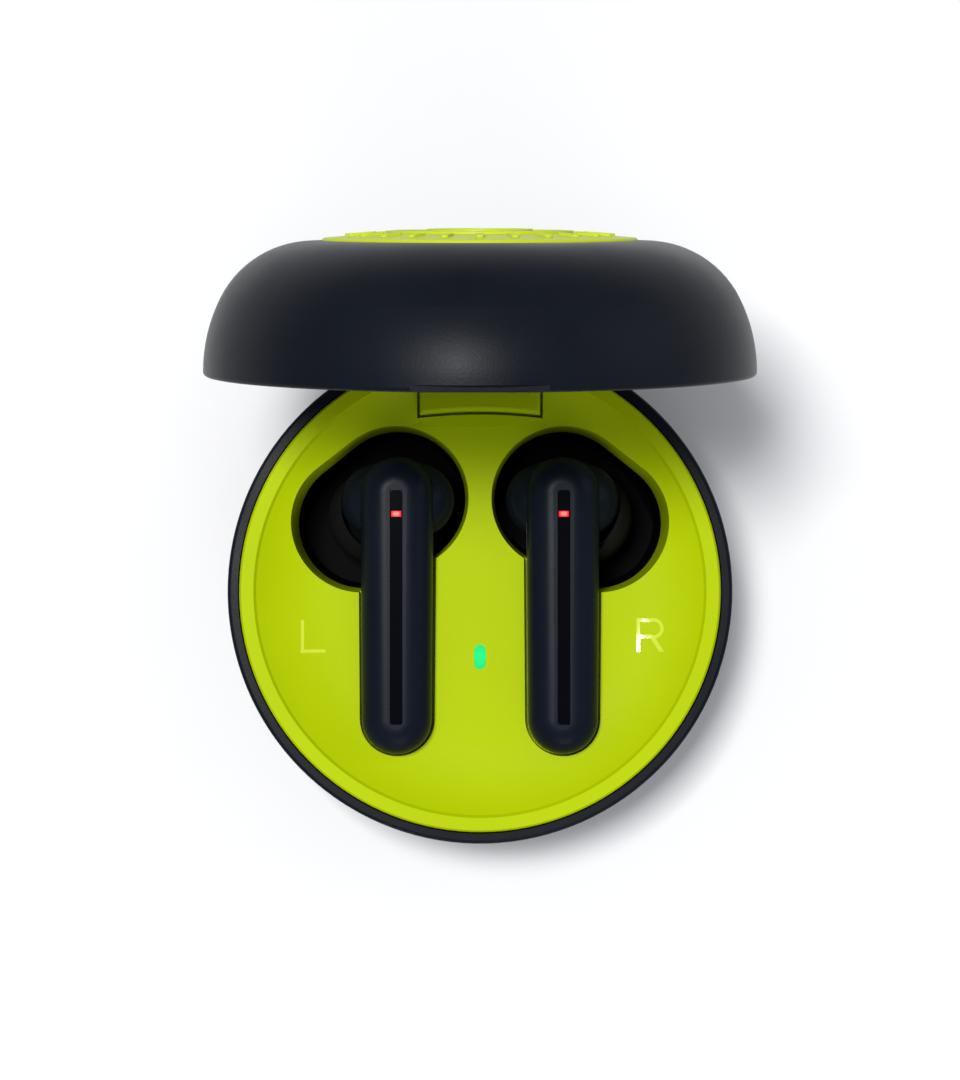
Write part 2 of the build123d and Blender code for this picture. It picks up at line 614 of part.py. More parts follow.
# ============================== earbuds =======================================================
TILT, HEADING = radians(NOZZLE_TILT), radians(NOZZLE_HEADING)
NOZZLE_DIR = Vector(sin(TILT) * cos(HEADING), sin(TILT) * sin(HEADING), -cos(TILT))
NOZZLE_SIDE = Vector(-sin(HEADING), cos(HEADING), 0)
NOZZLE_PLANE = Plane(origin=HEAD, x_dir=NOZZLE_SIDE, z_dir=NOZZLE_DIR)
NOZZLE_SECTION = Plane(origin=HEAD, x_dir=NOZZLE_SIDE, z_dir=NOZZLE_SIDE.cross(NOZZLE_DIR))
NOZZLE_AXIS = Axis(HEAD, NOZZLE_DIR)


def on_nozzle(radius, start, end, mode=Mode.ADD):
    """A cylinder along the nozzle between two distances from the head's centre."""
    with BuildSketch(NOZZLE_PLANE.offset(start)) as flat:
        Circle(radius)
    extrude(flat.sketch, amount=end - start, mode=mode)


def head_form(inset=0.0, mode=Mode.ADD):
    """The rounded head: a ball drawn out sideways into two smaller round ends."""
    with BuildSketch(Plane.XY.offset(HEAD[2])) as half:
        with Locations((HEAD[0], HEAD[1])):
            Circle(HEAD_B - inset)
            with Locations((HEAD_END_R - HEAD_A, 0), (HEAD_A - HEAD_END_R, 0)):
                Circle(HEAD_END_R - inset)
        make_hull()
        with Locations((HEAD[0], HEAD[1] - HEAD_B)):
            Rectangle(4 * HEAD_A, 2 * HEAD_B, mode=Mode.SUBTRACT)
    revolve(half.sketch, axis=Axis(HEAD, (1, 0, 0)), mode=mode)


with BuildPart() as stem_form:
    extrude(stem_plan(STEM_Z0), amount=STEM_Z1 - STEM_Z0)
    fillet(stem_form.edges().group_by(Axis.Z)[-1] + stem_form.edges().group_by(Axis.Z)[0], STEM_EDGE_R)

with BuildPart() as stem_inside:
    extrude(stem_plan(STEM_Z0 + BUD_WALL, -BUD_WALL), amount=STEM_Z1 - STEM_Z0 - 2 * BUD_WALL)
    ends = stem_inside.edges().group_by(Axis.Z)
    fillet(ends[-1] + ends[0], STEM_EDGE_R - BUD_WALL)

WINDOW_X = (-BUD_X - 0.6, -BUD_X + 0.6)
WINDOW_Y = (LED_Y - 0.36, LED_Y + 0.36)

with BuildPart() as stem_cover:
    add(stem_form.part)
    add(stem_inside.part, mode=Mode.SUBTRACT)
    block((-40, 40), (-40, 40), (0, SEAM_Z), mode=Mode.SUBTRACT)
    # groove for the touch strip, with a window under it for the light
    strip = (-BUD_X - STRIP_W / 2, -BUD_X + STRIP_W / 2)
    block(strip, STRIP_Y, (STEM_Z1 - STRIP_T, STEM_Z1 + 1), mode=Mode.SUBTRACT)
    block(WINDOW_X, WINDOW_Y, (20, STEM_Z1), mode=Mode.SUBTRACT)

with BuildPart() as touch_strip:
    block(strip, STRIP_Y, (STEM_Z1 - STRIP_T, STEM_Z1 + 0.03))
    block(WINDOW_X, WINDOW_Y, (20, STEM_Z1 + 1), mode=Mode.SUBTRACT)
    fillet(touch_strip.edges().filter_by(Axis.Z).group_by(Axis.Y)[0], 0.5)
    fillet(touch_strip.edges().filter_by(Axis.Z).group_by(Axis.Y)[-1], 0.5)

with BuildPart() as bud_led:
    # two round lenses side by side on one low package
    led_foot = BUD_BOARD_Z + BUD_BOARD_T
    block((-BUD_X - 0.57, -BUD_X + 0.57), (LED_Y - 0.33, LED_Y + 0.33), (led_foot, STEM_Z1 - 0.35))
    for x in (-BUD_X - 0.29, -BUD_X + 0.29):
        post(x, LED_Y, 0.26, STEM_Z1 - 0.35, STEM_Z1 - 0.05)

with BuildPart() as stem_top:
    add(stem_form.part)
    block((-40, 40), (-40, 40), (0, SEAM_Z), mode=Mode.SUBTRACT)

with BuildPart() as bud_shell:
    add(stem_form.part)
    head_form()
    on_nozzle(NOZZLE_R, 3.0, NOZZLE_END)
    add(stem_top.part, mode=Mode.SUBTRACT)
    add(stem_inside.part, mode=Mode.SUBTRACT)
    head_form(BUD_WALL, mode=Mode.SUBTRACT)
    on_nozzle(NOZZLE_BORE, 0, NOZZLE_END + 1, mode=Mode.SUBTRACT)
    for y in CONTACT_YS:
        post(-BUD_X, y, CONTACT_R, STEM_Z0 - 1, STEM_Z0 + BUD_WALL, mode=Mode.SUBTRACT)
    # microphone port in the tip of the stem
    with BuildSketch(Plane.XZ.offset(21)):
        with Locations((-BUD_X, 18.2)):
            Circle(0.45)
    extrude(amount=-3, mode=Mode.SUBTRACT)

with BuildPart() as ear_tip:
    with BuildSketch(NOZZLE_SECTION):
        with BuildLine():
            dome = Spline((2.0, 11.0), (4.3, 9.9), (5.6, 7.4), (5.7, 4.9), tangents=((1, 0), (-0.05, -1)))
            inner = Spline((5.15, 4.9), (5.0, 7.2), (3.9, 9.2), (3.3, 9.5), tangents=((0.02, 1), (-1, 0.1)))
            Line(dome @ 1, inner @ 0)
            Polyline(inner @ 1, (3.3, 5.8), (2.5, 5.8), (2.5, 9.45), (2.0, 9.45), dome @ 0)
        make_face()
    revolve(axis=NOZZLE_AXIS)
    add(bud_shell.part, mode=Mode.SUBTRACT)

with BuildPart() as nozzle_mesh:
    on_nozzle(NOZZLE_BORE, NOZZLE_END - 0.5, NOZZLE_END - 0.2)

with BuildPart() as driver:
    on_nozzle(2.9, -0.9, 0.9)
    on_nozzle(1.9, 0.9, 2.2)
    on_nozzle(2.0, -1.5, -0.9)

with BuildPart() as bud_battery:
    with BuildSketch(Plane.XZ.offset(6.0)):
        with Locations((-BUD_X, STEM_Z0 + BUD_WALL + CELL_R)):
            Circle(CELL_R)
    extrude(amount=-11)
    fillet(bud_battery.edges().filter_by(GeomType.CIRCLE), 0.3)

with BuildPart() as bud_board:
    block((-BUD_X - 2.4, -BUD_X + 2.4), (-16, 12.6), (BUD_BOARD_Z, BUD_BOARD_Z + BUD_BOARD_T))

with BuildPart() as bud_mic:
    block((-BUD_X - 1.2, -BUD_X + 1.2), (-16.8, -14.9), (BUD_BOARD_Z - 1.1, BUD_BOARD_Z))

with BuildPart() as bud_contacts:
    for y in CONTACT_YS:
        post(-BUD_X, y, CONTACT_R, CONTACT_Z, STEM_Z0 + BUD_WALL + 0.3)

with BuildPart() as bud_magnet:
    post(-BUD_X, BUD_MAGNET_Y, 1.2, STEM_Z0 + BUD_WALL, STEM_Z0 + BUD_WALL + 1.2)

BUD_PIECES = {
    "bud_shell": bud_shell,
    "stem_cover": stem_cover,
    "touch_strip": touch_strip,
    "bud_led": bud_led,
    "ear_tip": ear_tip,
    "nozzle_mesh": nozzle_mesh,
    "driver": driver,
    "bud_battery": bud_battery,
    "bud_board": bud_board,
    "bud_mic": bud_mic,
    "bud_contacts": bud_contacts,
    "bud_magnet": bud_magnet,
}
for name, piece in BUD_PIECES.items():
    save(piece.part, f"{name}_left")
    save(piece.part.mirror(Plane.YZ), f"{name}_right")
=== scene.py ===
# %% [markdown]
# # An earbud case, finished for its picture
# The shapes were already made in CAD, so this file is about finishes: how moulded plastic, polished
# plastic, silicone, plated metal and small lit lenses differ in their grain and their gloss.
# A few small pieces that a CAD model leaves out are modelled here by hand.

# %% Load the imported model
from math import radians

import bpy
from mathutils import Matrix, Vector


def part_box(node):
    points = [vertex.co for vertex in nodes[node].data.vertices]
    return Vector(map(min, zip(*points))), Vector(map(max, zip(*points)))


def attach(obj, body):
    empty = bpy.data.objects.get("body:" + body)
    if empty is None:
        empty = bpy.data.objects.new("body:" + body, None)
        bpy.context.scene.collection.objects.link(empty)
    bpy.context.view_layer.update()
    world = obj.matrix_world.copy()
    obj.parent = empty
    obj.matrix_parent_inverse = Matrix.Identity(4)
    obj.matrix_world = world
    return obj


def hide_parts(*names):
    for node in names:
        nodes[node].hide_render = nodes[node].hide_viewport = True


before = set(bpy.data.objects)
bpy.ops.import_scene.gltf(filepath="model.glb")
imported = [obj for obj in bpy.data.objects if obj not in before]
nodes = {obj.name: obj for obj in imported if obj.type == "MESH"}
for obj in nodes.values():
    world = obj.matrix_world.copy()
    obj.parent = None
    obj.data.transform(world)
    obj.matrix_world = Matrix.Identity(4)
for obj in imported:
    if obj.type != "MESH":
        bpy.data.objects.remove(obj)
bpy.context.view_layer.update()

# %% [markdown]
# ## Landmarks
# Most places below are read from the CAD pieces: the tray gives the height of its lip, and the
# strips give the line of each stem. A few sizes that a box can't give, such as the nozzle's tilt,
# are named where they are first used, and follow the CAD. The camera's own place was fitted.

# %% Read the landmarks
MM = 0.001
tray_low, tray_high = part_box("tray")
LIP_Z = tray_high[2]
strip_low, strip_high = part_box("touch_strip_left")
stem_x = (strip_low[0] + strip_high[0]) / 2
print("lip height mm", round(LIP_Z / MM, 2), "stem line mm", round(stem_x / MM, 2))


def deselect_all():
    """Leaves edit mode and clears the selection, so an operator acts only on what is meant."""
    if bpy.context.object and bpy.context.object.mode != "OBJECT":
        bpy.ops.object.mode_set(mode="OBJECT")
    bpy.ops.object.select_all(action="DESELECT")


SMOOTH_DEGREES = 35


def settle(name):
    """Names the active piece, puts its place into its mesh and smooths it up to an angle."""
    piece = bpy.context.object
    piece.name = name
    piece.data.name = name
    bpy.ops.object.transform_apply(location=True, rotation=True, scale=True)
    bpy.ops.object.shade_smooth_by_angle(angle=radians(SMOOTH_DEGREES))
    return piece


# %% [markdown]
# ## Camera
# The case is seen from straight above, with the opened lid standing up at the top of the picture.
# A long lens keeps the lid from looming, and the camera stands a little behind the case's middle,
# towards the hinge.

# %% Stand the camera over the case
CAMERA_Y = 6.1 * MM
CAMERA_HEIGHT = 329 * MM    # above the tray's lip
LENS_MM = 92.4
SENSOR_MM = 36
NEAR_CLIP = 10 * MM

camera_data = bpy.data.cameras.new("overhead_camera")
camera_data.lens = LENS_MM
camera_data.sensor_width = SENSOR_MM
camera_data.clip_start = NEAR_CLIP
camera = bpy.data.objects.new("overhead_camera", camera_data)
camera.location = (0, CAMERA_Y, LIP_Z + CAMERA_HEIGHT)
bpy.context.collection.objects.link(camera)
bpy.context.scene.camera = camera
print("camera height mm", round(camera.location.z / MM, 1))

# %% [markdown]
# ## Light and floor
# One broad lamp hangs high on the lid's side and a little to the left, so the lid's shade falls
# across the back of the tray. Two weak fills and a pale surround keep the dark plastic readable.

# %% Hang the lamps
SURROUND_COLOUR = (0.93, 0.95, 1.0, 1)
SURROUND_STRENGTH = 0.33
FLOOR_SIZE = 4


def soft_lamp(name, place, target, watts, width, tint=(1, 1, 1)):
    """A square area lamp aimed at a point."""
    lamp = bpy.data.lights.new(name, "AREA")
    lamp.shape = "SQUARE"
    lamp.size = width
    lamp.energy = watts
    lamp.color = tint
    holder = bpy.data.objects.new(name, lamp)
    holder.location = place
    holder.rotation_euler = (Vector(target) - Vector(place)).to_track_quat("-Z", "Y").to_euler()
    bpy.context.collection.objects.link(holder)


soft_lamp("main_lamp", place=(-0.16, 0.15, 0.95), target=(0, 0, 0.02), watts=8.2, width=0.2)
soft_lamp("front_fill", place=(0.1, -0.8, 0.5), target=(0, 0, 0.02), watts=1.6, width=0.5)
soft_lamp(
    "side_fill",
    place=(0.8, 0.3, 0.4),
    target=(0, 0, 0.03),
    watts=0.8,
    width=0.5,
    tint=(0.9, 0.94, 1.0),
)

world = bpy.data.worlds.new("pale_surround")
world.use_nodes = True
background = world.node_tree.nodes["Background"]
background.inputs["Color"].default_value = SURROUND_COLOUR
background.inputs["Strength"].default_value = SURROUND_STRENGTH
bpy.context.scene.world = world
bpy.context.scene.view_settings.view_transform = "Standard"

deselect_all()
bpy.ops.mesh.primitive_plane_add(size=FLOOR_SIZE, location=(0, 0, 0))
floor = settle("studio_floor")

# %% [markdown]
# ## The grain of moulded plastic
# A steel mould leaves a fine skin on plastic: tiny pits that spread the highlight, slow changes of
# gloss from cooling, and a faint drift of tone. Nearly every finish here has some of it, so it is
# built once as a node group and given its own numbers in each material.

# %% Build the moulded grain group
CLOUD_SCALE = 90.0
SPECK_SCALE = 2600.0
FLECK_SHARE = 0.25
PIT_HEIGHT = 0.02 * MM


def new_group(name, inputs, outputs):
    """A shader group with the given sockets, and its input and output nodes."""
    group = bpy.data.node_groups.new(name, "ShaderNodeTree")
    for label, value in inputs:
        kind = "NodeSocketColor" if isinstance(value, tuple) else "NodeSocketFloat"
        socket = group.interface.new_socket(label, in_out="INPUT", socket_type=kind)
        socket.default_value = value
    for label, kind in outputs:
        group.interface.new_socket(label, in_out="OUTPUT", socket_type=kind)
    return group, group.nodes.new("NodeGroupInput"), group.nodes.new("NodeGroupOutput")


def add_node(tree, kind, **settings):
    """Adds a shader node and sets its plain settings."""
    node = tree.nodes.new("ShaderNode" + kind)
    for key, value in settings.items():
        setattr(node, key, value)
    return node


def add_noise(tree, vector, scale, detail):
    """A noise texture on the given coordinates; scale may be a number or an output."""
    noise = add_node(tree, "TexNoise")
    tree.links.new(vector, noise.inputs["Vector"])
    if isinstance(scale, (int, float)):
        noise.inputs["Scale"].default_value = scale
    else:
        tree.links.new(scale, noise.inputs["Scale"])
    noise.inputs["Detail"].default_value = detail
    noise.inputs["Roughness"].default_value = 0.5
    return noise.outputs["Fac"]


def add_math(tree, operation, a, b):
    """A math node from two numbers or outputs."""
    node = add_node(tree, "Math", operation=operation)
    for socket, value in zip(node.inputs, (a, b)):
        if isinstance(value, (int, float)):
            socket.default_value = value
        else:
            tree.links.new(value, socket)
    return node.outputs[0]


grain, grain_in, grain_out = new_group(
    "Moulded Grain",
    [
        ("Colour", (0.5, 0.5, 0.5, 1)),
        ("Drift", 0.08),
        ("Gloss Spread", 0.1),
        ("Roughness", 0.4),
        ("Pit Scale", 9000.0),
        ("Pit Depth", 0.3),
    ],
    [
        ("Colour", "NodeSocketColor"),
        ("Roughness", "NodeSocketFloat"),
        ("Normal", "NodeSocketVector"),
    ],
)
place = add_node(grain, "TexCoord").outputs["Object"]
pits = add_noise(grain, place, grain_in.outputs["Pit Scale"], 2.0)
clouds = add_noise(grain, place, CLOUD_SCALE, 3.0)
specks = add_noise(grain, place, SPECK_SCALE, 1.0)

centred = add_math(grain, "SUBTRACT", clouds, 0.5)
drift = add_math(grain, "MULTIPLY", centred, grain_in.outputs["Drift"])
fleck = add_math(grain, "MULTIPLY", add_math(grain, "SUBTRACT", specks, 0.5), FLECK_SHARE)
fleck_drift = add_math(grain, "MULTIPLY", fleck, grain_in.outputs["Drift"])
lift = add_math(grain, "ADD", 1.0, add_math(grain, "ADD", drift, fleck_drift))
tone = add_node(grain, "VectorMath", operation="SCALE")
grain.links.new(grain_in.outputs["Colour"], tone.inputs[0])
grain.links.new(lift, tone.inputs["Scale"])
grain.links.new(tone.outputs[0], grain_out.inputs["Colour"])

unevenness = add_math(grain, "ADD", centred, fleck)
spread = add_math(grain, "MULTIPLY", unevenness, grain_in.outputs["Gloss Spread"])
roughness = add_math(grain, "ADD", grain_in.outputs["Roughness"], spread)
grain.links.new(roughness, grain_out.inputs["Roughness"])

pit_bump = add_node(grain, "Bump")
pit_bump.inputs["Distance"].default_value = PIT_HEIGHT
grain.links.new(pits, pit_bump.inputs["Height"])
grain.links.new(grain_in.outputs["Pit Depth"], pit_bump.inputs["Strength"])
grain.links.new(pit_bump.outputs[0], grain_out.inputs["Normal"])
print("moulded grain inputs:", [i.name for i in grain_in.outputs][:-1])

# %% [markdown]
# ## One way to make each finish
# The shader itself stays in the material, and only the grain comes from the group. What is the same
# all over, such as coat or metal, is set on the shader's own sockets.

# %% A helper that lays grain under a shader


def moulded(name, colour, rough, drift, spread, pit_scale, pit_depth, **shader):
    """A material of grained plastic; extra keywords set sockets of the shader."""
    material = bpy.data.materials.new(name)
    material.use_nodes = True
    tree = material.node_tree
    surface = tree.nodes["Principled BSDF"]
    skin = tree.nodes.new("ShaderNodeGroup")
    skin.node_tree = grain
    skin.inputs["Colour"].default_value = (*colour, 1)
    skin.inputs["Drift"].default_value = drift
    skin.inputs["Gloss Spread"].default_value = spread
    skin.inputs["Roughness"].default_value = rough
    skin.inputs["Pit Scale"].default_value = pit_scale
    skin.inputs["Pit Depth"].default_value = pit_depth
    tree.links.new(skin.outputs["Colour"], surface.inputs["Base Color"])
    tree.links.new(skin.outputs["Roughness"], surface.inputs["Roughness"])
    tree.links.new(skin.outputs["Normal"], surface.inputs["Normal"])
    for label, value in shader.items():
        surface.inputs[label.replace("_", " ")].default_value = value
    return material


def dress(material, *names):
    """Gives CAD nodes their finish."""
    for name in names:
        for holder in nodes[name].material_slots:
            holder.material = material


# %% [markdown]
# ## Outer shells
# The case and the stems are a blue-black plastic with a fine satin skin. The case is a touch
# rougher than the stems, which are handled more and are polished a little by it.

# %% Dress the dark plastic
case_skin = moulded(
    "navy_satin_shell",
    colour=(0.0045, 0.0062, 0.0105),
    rough=0.38,
    drift=0.5,
    spread=0.2,
    pit_scale=3200.0,
    pit_depth=0.5,
    Specular_IOR_Level=0.085,
)
stem_skin = moulded(
    "navy_satin_stem",
    colour=(0.0045, 0.0075, 0.0135),
    rough=0.34,
    drift=0.5,
    spread=0.15,
    pit_scale=4500.0,
    pit_depth=0.35,
    Specular_IOR_Level=0.07,
)
dress(case_skin, "base_shell", "lid_shell")
for side in ("left", "right"):
    dress(stem_skin, "stem_cover_" + side, "bud_shell_" + side)

# %% [markdown]
# ## The coloured tray
# The tray is moulded in a strong yellow-green. Its skin is matt, so the dish shades softly from
# its deep edge to its middle.

# %% Dress the coloured plastic
tray_skin = moulded(
    "lime_satin_tray",
    colour=(0.42, 0.545, 0.0),
    rough=0.52,
    drift=0.1,
    spread=0.12,
    pit_scale=4000.0,
    pit_depth=0.3,
    Specular_IOR_Level=0.06,
)
badge_skin = moulded(
    "lime_satin_badge",
    colour=(0.50, 0.60, 0.01),
    rough=0.45,
    drift=0.1,
    spread=0.14,
    pit_scale=4000.0,
    pit_depth=0.35,
    Specular_IOR_Level=0.2,
)
dress(tray_skin, "tray", "hinge_cover")
# The letter fill is a paler lime than the tray. That lighter colour is a painted highlight for the
# glints along the engraved letters. Its low roughness and clear coat are real polish.
letter_fill_painted_highlight = moulded(
    "lime_polished_fill_painted_highlight",
    colour=(0.62, 0.72, 0.03),
    rough=0.1,
    drift=0.05,
    spread=0.04,
    pit_scale=3000.0,
    pit_depth=0.02,
    Coat_Weight=0.8,
    Coat_Roughness=0.05,
)
dress(badge_skin, "lid_badge")
dress(letter_fill_painted_highlight, "side_letters")

# %% [markdown]
# ## Black inner mouldings
# The pocket cups and the lid's liner are plain black with a coarser spark-eroded grain, which
# hides scuffs where the earbuds go in and out.

# %% Dress the black plastic
cup_skin = moulded(
    "black_grained_cup",
    colour=(0.002, 0.002, 0.0022),
    rough=0.65,
    drift=0.4,
    spread=0.2,
    pit_scale=3500.0,
    pit_depth=0.8,
    Specular_IOR_Level=0.04,
)
inner_skin = moulded(
    "black_moulding",
    colour=(0.01, 0.01, 0.011),
    rough=0.5,
    drift=0.4,
    spread=0.2,
    pit_scale=5000.0,
    pit_depth=0.5,
)
foam_skin = moulded(
    "dark_foam",
    colour=(0.03, 0.03, 0.032),
    rough=0.9,
    drift=0.6,
    spread=0.1,
    pit_scale=2200.0,
    pit_depth=1.0,
)
dress(cup_skin, "cradle", "lid_liner")
dress(inner_skin, "usb_tongue", "driver_left", "driver_right")
dress(foam_skin, "battery_pad", "badge_tape")

# %% [markdown]
# ## Polished strips and silicone tips
# Each stem has a narrow polished strip, glossier than the plastic round it. The ear tips are
# silicone, which is soft and nearly without gloss, with a little sheen at its edges.

# %% Dress the strips and tips
strip_skin = moulded(
    "polished_black_strip",
    colour=(0.0012, 0.0016, 0.003),
    rough=0.1,
    drift=0.3,
    spread=0.06,
    pit_scale=5000.0,
    pit_depth=0.04,
    Specular_IOR_Level=0.06,
)
tip_skin = moulded(
    "matt_silicone",
    colour=(0.004, 0.004, 0.0045),
    rough=0.6,
    drift=0.3,
    spread=0.1,
    pit_scale=5000.0,
    pit_depth=0.2,
    Specular_IOR_Level=0.25,
)
chip_skin = moulded(
    "chip_resin",
    colour=(0.012, 0.012, 0.013),
    rough=0.4,
    drift=0.4,
    spread=0.1,
    pit_scale=8000.0,
    pit_depth=0.4,
)
for side in ("left", "right"):
    dress(strip_skin, "touch_strip_" + side)
    dress(tip_skin, "ear_tip_" + side)
dress(chip_skin, "board_chips")

# %% [markdown]
# ## Metal parts
# Drawn steel, gold flash and nickel plate differ mostly in colour and in how far their fine
# scratches spread the light.

# %% Dress the metal
steel = moulded(
    "drawn_steel",
    colour=(0.56, 0.57, 0.59),
    rough=0.3,
    drift=0.12,
    spread=0.25,
    pit_scale=3000.0,
    pit_depth=0.25,
    Metallic=1.0,
)
gold = moulded(
    "gold_flash",
    colour=(0.86, 0.62, 0.24),
    rough=0.24,
    drift=0.1,
    spread=0.2,
    pit_scale=6000.0,
    pit_depth=0.1,
    Metallic=1.0,
)
nickel = moulded(
    "nickel_plate",
    colour=(0.6, 0.59, 0.56),
    rough=0.2,
    drift=0.1,
    spread=0.2,
    pit_scale=5000.0,
    pit_depth=0.15,
    Metallic=1.0,
)
dress(steel, "hinge_pin", "usb_shell", "board_screws")
dress(gold, "pogo_housings")
dress(nickel, "catch_magnets", "dock_magnets", "lid_magnets")
for spot in ("left_rear", "left_front", "right_rear", "right_front"):
    dress(gold, "plunger_" + spot)
    dress(steel, "spring_" + spot)
for side in ("left", "right"):
    dress(steel, "nozzle_mesh_" + side, "bud_mic_" + side)
    dress(gold, "bud_contacts_" + side)
    dress(nickel, "bud_magnet_" + side)

# %% [markdown]
# ## Boards, cells and wiring
# These are shut inside, but they show when the model is taken apart, so each gets its own finish.

# %% Dress the inside
board_skin = moulded(
    "green_solder_mask",
    colour=(0.008, 0.07, 0.025),
    rough=0.32,
    drift=0.5,
    spread=0.15,
    pit_scale=2500.0,
    pit_depth=0.3,
)
cell_skin = moulded(
    "silvery_cell_film",
    colour=(0.33, 0.36, 0.4),
    rough=0.28,
    drift=0.25,
    spread=0.25,
    pit_scale=1500.0,
    pit_depth=0.5,
    Metallic=0.4,
)
ribbon_skin = moulded(
    "amber_ribbon",
    colour=(0.5, 0.2, 0.025),
    rough=0.25,
    drift=0.2,
    spread=0.1,
    pit_scale=4000.0,
    pit_depth=0.1,
)
wire_skin = moulded(
    "red_wire_cover",
    colour=(0.45, 0.02, 0.015),
    rough=0.45,
    drift=0.2,
    spread=0.1,
    pit_scale=5000.0,
    pit_depth=0.2,
)
dress(board_skin, "main_board", "usb_board", "bud_board_left", "bud_board_right")
dress(cell_skin, "battery", "bud_battery_left", "bud_battery_right")
dress(ribbon_skin, "flex_cable")
dress(wire_skin, "battery_leads")

# %% [markdown]
# ## Small lights
# A lit lens is brightest in its middle, where the light behind it is, and falls off to its rim.
# The fall-off comes from the distance to the lens's centre, so it belongs to the lens and not to
# the view.

# %% Build the lit lens
LENS_ROUGHNESS = 0.25
LENS_SPECULAR = 0.08
LENS_BODY = (0.01, 0.01, 0.01, 1)
CORE_ENDS = 0.1
RIM_STARTS = 0.75


def lit_lens(name, rim, core, centre, reach, power):
    """A glowing lens whose core is paler and brighter than its rim."""
    material = bpy.data.materials.new(name)
    material.use_nodes = True
    tree = material.node_tree
    surface = tree.nodes["Principled BSDF"]
    surface.inputs["Roughness"].default_value = LENS_ROUGHNESS
    surface.inputs["Specular IOR Level"].default_value = LENS_SPECULAR
    where = add_node(tree, "TexCoord").outputs["Object"]
    offset = add_node(tree, "VectorMath", operation="DISTANCE")
    tree.links.new(where, offset.inputs[0])
    offset.inputs[1].default_value = centre
    fall = add_node(tree, "MapRange")
    fall.inputs["From Min"].default_value = 0.0
    fall.inputs["From Max"].default_value = reach
    tree.links.new(offset.outputs["Value"], fall.inputs["Value"])
    ramp = add_node(tree, "ValToRGB")
    ramp.color_ramp.elements[0].position = CORE_ENDS
    ramp.color_ramp.elements[0].color = (*core, 1)
    ramp.color_ramp.elements[1].position = RIM_STARTS
    ramp.color_ramp.elements[1].color = (*rim, 1)
    tree.links.new(fall.outputs[0], ramp.inputs["Fac"])
    tree.links.new(ramp.outputs["Color"], surface.inputs["Emission Color"])
    surface.inputs["Base Color"].default_value = LENS_BODY
    surface.inputs["Emission Strength"].default_value = power
    return material


def middle(node):
    """The centre of a CAD node's box."""
    low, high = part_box(node)
    return tuple((a + b) / 2 for a, b in zip(low, high))


lens_centre = middle("status_lens")
lens_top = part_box("status_lens")[1][2]
green_light = lit_lens(
    "green_status_light",
    rim=(0.0, 0.82, 0.2),
    core=(0.0, 1.0, 0.27),
    centre=(lens_centre[0], lens_centre[1], lens_top),
    reach=2.2 * MM,
    power=1.0,
)
dress(green_light, "status_lens", "status_led")
for side in ("left", "right"):
    led_centre = middle("bud_led_" + side)
    led_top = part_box("bud_led_" + side)[1][2]
    red_light = lit_lens(
        "red_charge_light_" + side,
        rim=(0.85, 0.0, 0.0),
        core=(1.0, 0.25, 0.2),
        centre=(led_centre[0], led_centre[1], led_top),
        reach=0.7 * MM,
        power=1.6,
    )
    dress(red_light, "bud_led_" + side)

# %% [markdown]
# ## The seam round each stem
# The stem is two mouldings pressed together, and a thin dark bead of sealant shows where they meet.
# A circle has the right number of points already, so its near half is slid down the stem and drawn
# in a little, because the stem narrows. The outline is then pulled up into a ribbon and thickened.

# %%


# %% Model the seam beads
SEAM_H = 0.12 * MM
SEAM_PROUD = 0.025 * MM
SEAM_WALL = 0.12 * MM
STEM_END_RATIO = 4.15 / 4.35    # radius at the stem's tip over radius at its top
SEAM_POINTS = 96
HALF_LINE_SLACK = 1e-6


def seam_bead(side):
    """A thin ribbon of sealant round a stem at its seam."""
    low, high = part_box("stem_cover_" + side)
    radius = (high[0] - low[0]) / 2
    top_centre = (low[0] + radius, high[1] - radius)
    end_y = low[1] + radius * STEM_END_RATIO
    deselect_all()
    bpy.ops.mesh.primitive_circle_add(
        vertices=SEAM_POINTS,
        radius=radius + SEAM_PROUD,
        fill_type="NOTHING",
        location=(*top_centre, low[2] - SEAM_H / 2),
    )
    bead = bpy.context.object
    bpy.ops.object.transform_apply(location=True, rotation=True, scale=True)
    bpy.ops.object.mode_set(mode="EDIT")
    bpy.ops.mesh.select_all(action="DESELECT")
    bpy.ops.object.mode_set(mode="OBJECT")
    for point in bead.data.vertices:
        point.select = point.co.y < top_centre[1] - HALF_LINE_SLACK
    bpy.ops.object.mode_set(mode="EDIT")
    bpy.ops.transform.translate(value=(0, end_y - top_centre[1], 0))
    bpy.ops.transform.resize(
        value=(STEM_END_RATIO, STEM_END_RATIO, 1),
        center_override=(top_centre[0], end_y, low[2]),
    )
    bpy.ops.mesh.select_all(action="SELECT")
    bpy.ops.mesh.extrude_region_move(TRANSFORM_OT_translate={"value": (0, 0, SEAM_H)})
    bpy.ops.mesh.select_all(action="SELECT")
    bpy.ops.mesh.normals_make_consistent(inside=False)
    bpy.ops.object.mode_set(mode="OBJECT")
    wall = bead.modifiers.new("wall", "SOLIDIFY")
    wall.thickness = SEAM_WALL
    wall.offset = -1
    bpy.ops.object.modifier_apply(modifier=wall.name)
    piece = settle("stem_seam_" + side)
    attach(piece, "bud_" + side)
    piece.data.materials.append(inner_skin)
    return piece


for side in ("left", "right"):
    bead = seam_bead(side)
    print(bead.name, "faces", len(bead.data.polygons))

# %% [markdown]
# ## Contacts in the charging port
# A port's tongue carries a row of gold contacts on each face, half a millimetre apart. One contact
# is made from a cube with its edges eased, and the rest are copies of it.

# %% Model the port's contacts
PAD_PITCH = 0.5 * MM
PADS = 12
PAD_SIZE = (0.26 * MM, 3.2 * MM, 0.05 * MM)
PAD_SETBACK = 0.5 * MM
PAD_PROUD = 0.005 * MM
PAD_EDGE = 0.015 * MM
TONGUE_HALF = 0.35 * MM

